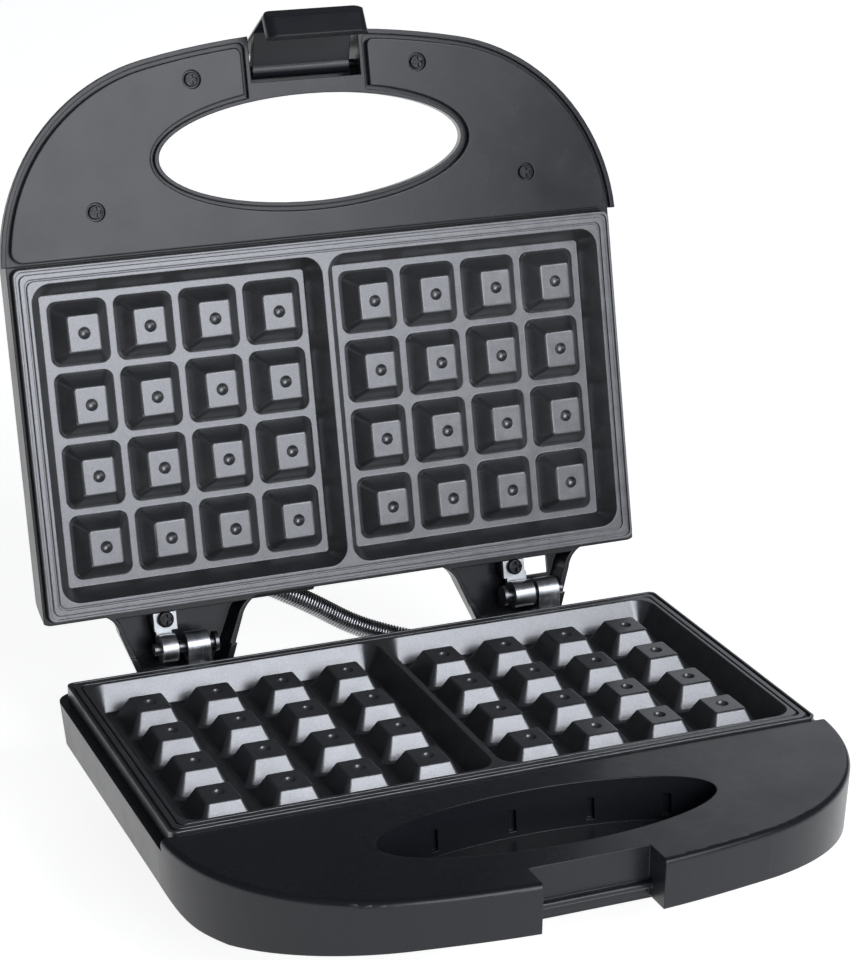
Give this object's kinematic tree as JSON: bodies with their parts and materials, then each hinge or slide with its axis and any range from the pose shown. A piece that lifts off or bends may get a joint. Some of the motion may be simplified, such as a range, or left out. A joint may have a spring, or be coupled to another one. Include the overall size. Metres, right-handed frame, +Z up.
{
  "type": "waffle maker",
  "caption": "Clamshell two-slice waffle maker, lid open: grid plates, oval handles, latch, hinge ears and a spring wire sleeve.",
  "frame": {"origin": "centre of the whole part's box in plan, at the height of the surface the feet stand on, with the lid open on its stop", "axes": "+Z up, +X to the right and -Y towards the handle of the base, where the user stands; the hinge axis runs along X at the rear"},
  "size_m": [0.2362, 0.2857, 0.2631],
  "materials": {
    "black_housing": "semi-gloss black phenolic or polypropylene",
    "handle_panel": "semi-gloss black, slightly lighter",
    "nonstick_plate": "dark grey satin non-stick coating on cast aluminium",
    "element_steel": "satin sheathed heating element",
    "reflector_aluminium": "mill finish sheet",
    "zinc_steel": "zinc plated steel",
    "pin_steel": "dark steel",
    "sleeve_steel": "close-wound steel spring",
    "black_screw": "black oxide steel",
    "thermostat_steel": "plated steel",
    "ceramic": "glazed steatite",
    "rubber": "matte black rubber",
    "red_lens": "translucent red lens",
    "green_lens": "translucent green lens",
    "lamp_glass": "clear neon lamp"
  },
  "bodies": {
    "base": {"base_shell": "black_housing", "bottom_cover": "black_housing", "rubber_feet": "rubber", "lower_plate": "nonstick_plate", "lower_heater": "element_steel", "lower_reflector": "reflector_aluminium", "cover_screws": "zinc_steel", "thermostat": "thermostat_steel", "thermal_fuse": "thermostat_steel", "terminal_block": "ceramic", "cord_gland": "rubber", "sleeve_bush_base": "rubber", "hinge_leaf_base_left": "zinc_steel", "hinge_leaf_base_right": "zinc_steel", "base_leaf_screws": "zinc_steel", "hinge_pins": "pin_steel", "wire_sleeve": "sleeve_steel"},
    "lid": {"lid_shell": "black_housing", "handle_panel": "handle_panel", "panel_screws": "black_screw", "upper_plate": "nonstick_plate", "upper_heater": "element_steel", "upper_reflector": "reflector_aluminium", "upper_plate_screws": "zinc_steel", "hinge_leaf_lid_left": "zinc_steel", "hinge_leaf_lid_right": "zinc_steel", "lid_leaf_screws": "black_screw", "sleeve_bush_lid": "rubber", "latch_pin": "black_screw", "power_lens": "red_lens", "ready_lens": "green_lens", "indicator_lamps": "lamp_glass"},
    "latch": {"latch": "black_housing"}
  },
  "joints": [
    {"name": "lid_hinge", "type": "hinge", "parent": "base", "child": "lid", "pos_m": [0, 0.07117, 0.0437], "axis": [1, 0, 0], "range_deg": [0, 102.8], "deforming": ["wire_sleeve"]},
    {"name": "latch_pivot", "type": "hinge", "parent": "lid", "child": "latch", "pos_m": [0, 0.12448, 0.23951], "axis": [1, 0, 0], "range_deg": [0, 20]}
  ]
}
